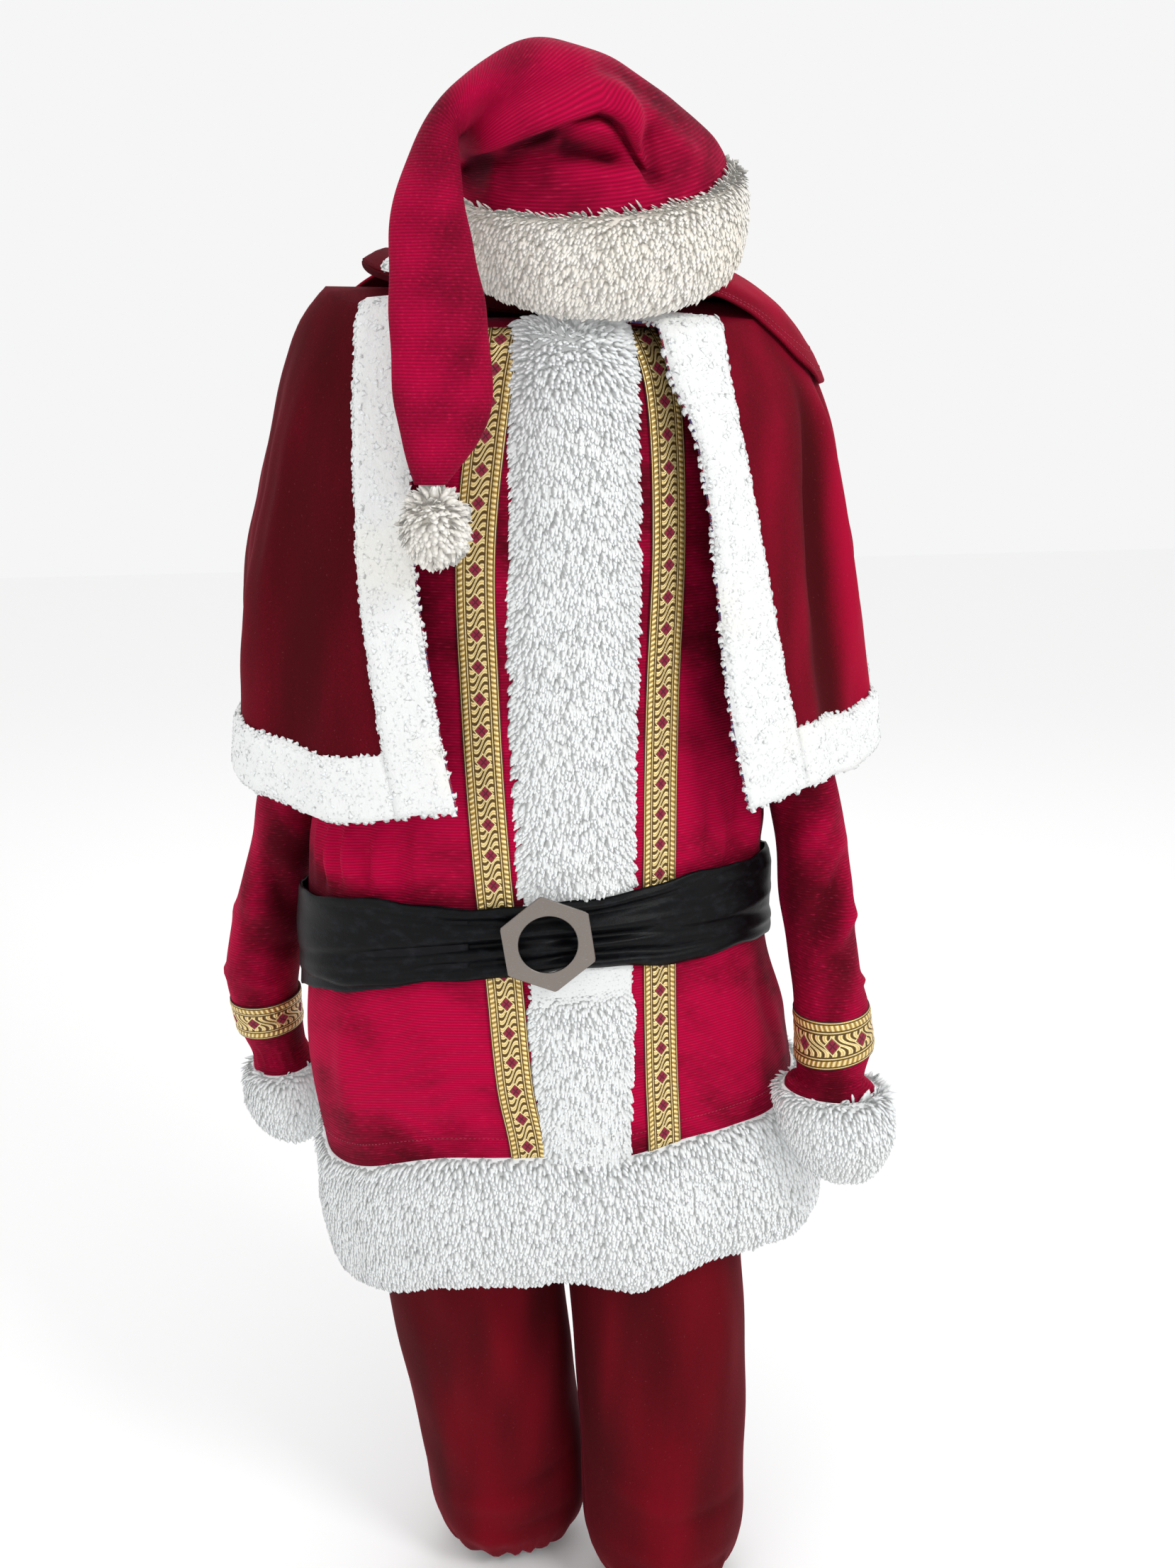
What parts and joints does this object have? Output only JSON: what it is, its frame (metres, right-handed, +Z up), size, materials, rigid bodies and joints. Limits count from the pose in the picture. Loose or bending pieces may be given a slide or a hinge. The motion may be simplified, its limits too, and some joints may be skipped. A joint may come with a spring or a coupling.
{
  "type": "santa suit costume",
  "caption": "Worn-form Santa suit: stocking hat, shoulder cape, long belted jacket with plush trim and gold braid, and trousers, hollow and open at neck, cuffs and ankles.",
  "frame": {"origin": "middle of the jacket's neck opening, where the wearer's neck holds the suit", "axes": "+Z up the wearer's body, -Y out of the suit's front, +X to the wearer's left"},
  "size_m": [0.6496, 0.42, 1.5189],
  "materials": {
    "crimson_cord": "fine horizontal-ribbed corduroy, soft nap",
    "hat_rib": "ribbed stocking cloth",
    "velvet_cape": "worn velvet, darker brown-red nap",
    "velvet_trouser": "worn velvet",
    "white_plush": "long white plush fur",
    "cream_plush": "long plush fur, slightly yellowed",
    "sherpa": "short curly plush",
    "gold_braid": "woven metallic braid with crimson motifs",
    "black_leather": "soft fine-grained leatherette",
    "nickel": "worn nickel plate"
  },
  "bodies": {
    "root": {"jacket_front_right": "crimson_cord", "jacket_front_left": "crimson_cord", "jacket_back": "crimson_cord", "braid_right": "gold_braid", "braid_left": "gold_braid", "fur_front": "white_plush", "hem_fur_right": "white_plush", "hem_fur_left": "white_plush", "hem_fur_back": "white_plush", "sleeve_left": "crimson_cord", "sleeve_braid_left": "gold_braid", "cuff_fur_left": "white_plush", "sleeve_right": "crimson_cord", "sleeve_braid_right": "gold_braid", "cuff_fur_right": "white_plush", "cape_front_left": "velvet_cape", "cape_back": "velvet_cape", "cape_front_right": "velvet_cape", "cape_border_left": "sherpa", "cape_border_right": "sherpa", "cape_border_hem": "sherpa", "cape_collar": "velvet_cape", "hat_crown": "hat_rib", "hat_brim": "cream_plush", "hat_pompom": "cream_plush", "trouser_front_right": "velvet_trouser", "waistband_front_right": "velvet_trouser", "trouser_back_right": "velvet_trouser", "waistband_back_right": "velvet_trouser", "trouser_front_left": "velvet_trouser", "waistband_front_left": "velvet_trouser", "trouser_back_left": "velvet_trouser", "waistband_back_left": "velvet_trouser", "belt_strap": "black_leather", "belt_tail": "black_leather", "buckle": "nickel"}
  },
  "joints": []
}
